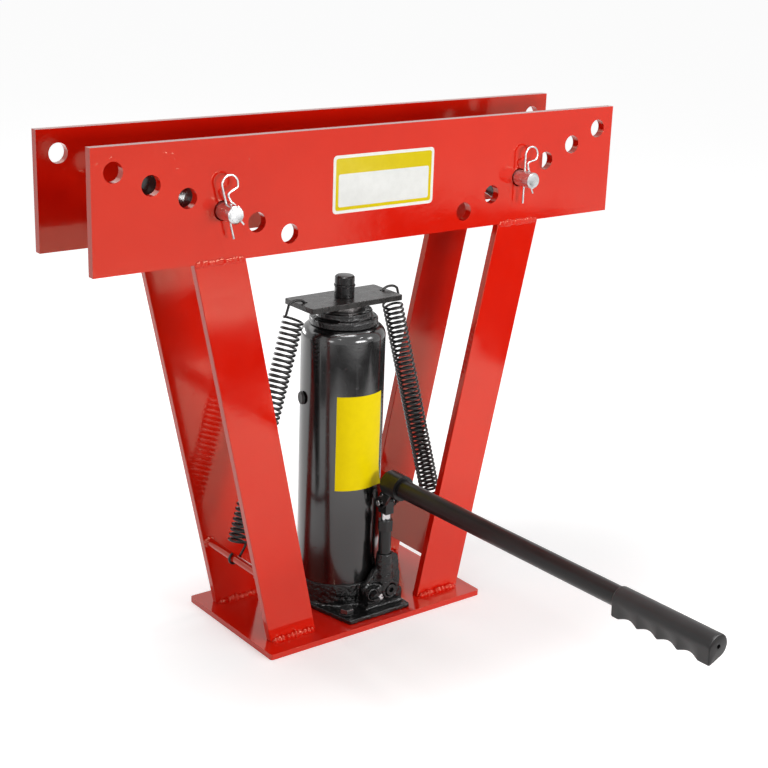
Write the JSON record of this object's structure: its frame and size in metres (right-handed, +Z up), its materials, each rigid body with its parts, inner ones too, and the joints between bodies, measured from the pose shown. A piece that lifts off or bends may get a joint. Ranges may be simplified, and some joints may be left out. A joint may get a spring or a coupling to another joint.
{
  "type": "hydraulic pipe bender",
  "caption": "Hydraulic pipe bender: a welded red stand holds rollers on pins between drilled side plates, above a black bottle jack with return springs and a pump handle.",
  "frame": {"origin": "under the middle of the base plate, on the floor", "axes": "+X along the side plates, +Y away from the pump handle, +Z up along the ram"},
  "size_m": [0.6, 0.5686, 0.508],
  "materials": {
    "red_paint": "glossy red enamel",
    "black_paint": "glossy black enamel",
    "black_casting": "rough casting under black enamel",
    "blackened_steel": "oiled black finish",
    "bright_steel": "bright zinc plate",
    "ground_steel": "ground and polished",
    "spring_steel": "black oiled spring wire",
    "seal_rubber": "plain",
    "grip_plastic": "fine matt black"
  },
  "bodies": {
    "frame": {"base_plate": "red_paint", "leg_front_left": "red_paint", "leg_front_right": "red_paint", "leg_rear_left": "red_paint", "leg_rear_right": "red_paint", "front_plate": "red_paint", "rear_plate": "red_paint", "cross_plate": "red_paint", "left_rod": "red_paint", "right_rod": "red_paint", "foot_welds": "red_paint", "head_welds": "red_paint", "jack_base": "black_casting", "jack_bolts": "blackened_steel", "jack_washers": "blackened_steel", "tank": "black_paint", "tank_gasket": "seal_rubber", "working_cylinder": "ground_steel", "tank_cap": "black_casting", "ram_wiper": "seal_rubber", "filler_plug": "seal_rubber", "pump_tube": "blackened_steel", "pump_gland": "blackened_steel", "fulcrum_link": "black_casting", "link_pin": "bright_steel", "fulcrum_pin": "bright_steel", "lever_clips": "bright_steel", "check_plug": "blackened_steel", "safety_screw": "bright_steel", "valve_balls": "bright_steel", "left_spring": "spring_steel", "right_spring": "spring_steel"},
    "ram": {"ram": "ground_steel", "ram_seal": "seal_rubber", "nose_pin": "blackened_steel", "spring_plate": "black_paint", "nose_clip": "blackened_steel"},
    "plunger": {"plunger": "ground_steel", "plunger_pin": "bright_steel", "plunger_seal": "seal_rubber"},
    "socket": {"handle_socket": "black_paint"},
    "handle": {"handle_tube": "black_paint", "handle_grip": "grip_plastic"},
    "release_valve": {"release_valve": "blackened_steel"},
    "left_pin": {"left_pin": "bright_steel"},
    "right_pin": {"right_pin": "bright_steel"},
    "left_clip": {"left_clip": "bright_steel"},
    "right_clip": {"right_clip": "bright_steel"},
    "left_roller": {"left_roller": "blackened_steel"},
    "right_roller": {"right_roller": "blackened_steel"}
  },
  "joints": [
    {"name": "ram_slide", "type": "slide", "parent": "frame", "child": "ram", "axis": [0, 0, 1], "range_m": [0, 0.215], "stiffness_N_per_m": 1300, "springref_m": -0.02, "deforming": ["left_spring", "right_spring"]},
    {"name": "handle_lift", "type": "hinge", "parent": "frame", "child": "socket", "pos_m": [0.0225, -0.039, 0.1235], "axis": [-1, 0, 0], "range_deg": [-8, 25]},
    {"name": "plunger_slide", "type": "slide", "parent": "frame", "child": "plunger", "axis": [0, 0, 1], "range_m": [-0.002, 0.0058]},
    {"name": "handle_pull", "type": "slide", "parent": "socket", "child": "handle", "axis": [0, -0.9999, 0.0157], "range_m": [0, 0.018]},
    {"name": "release_turn", "type": "hinge", "parent": "frame", "child": "release_valve", "pos_m": [0.0035, -0.058, 0.0265], "axis": [0, -1, 0], "range_deg": [0, 180]},
    {"name": "left_pin_play", "type": "slide", "parent": "frame", "child": "left_pin", "axis": [0, 1, 0], "range_m": [0, 0.0067]},
    {"name": "left_clip_pull", "type": "slide", "parent": "left_pin", "child": "left_clip", "axis": [-0.2419, 0, 0.9703], "range_m": [0, 0.034]},
    {"name": "left_roller_spin", "type": "hinge", "parent": "frame", "child": "left_roller", "pos_m": [-0.1734, 0, 0.4439], "axis": [0, 1, 0], "continuous": true},
    {"name": "right_pin_play", "type": "slide", "parent": "frame", "child": "right_pin", "axis": [0, 1, 0], "range_m": [0, 0.0067]},
    {"name": "right_clip_pull", "type": "slide", "parent": "right_pin", "child": "right_clip", "axis": [0, 0, 1], "range_m": [0, 0.034]},
    {"name": "right_roller_spin", "type": "hinge", "parent": "frame", "child": "right_roller", "pos_m": [0.1734, 0, 0.4439], "axis": [0, 1, 0], "continuous": true}
  ],
  "couplings": [
    {"joint": "plunger_slide", "follows": "handle_lift", "m_per_rad": 0.0126}
  ]
}
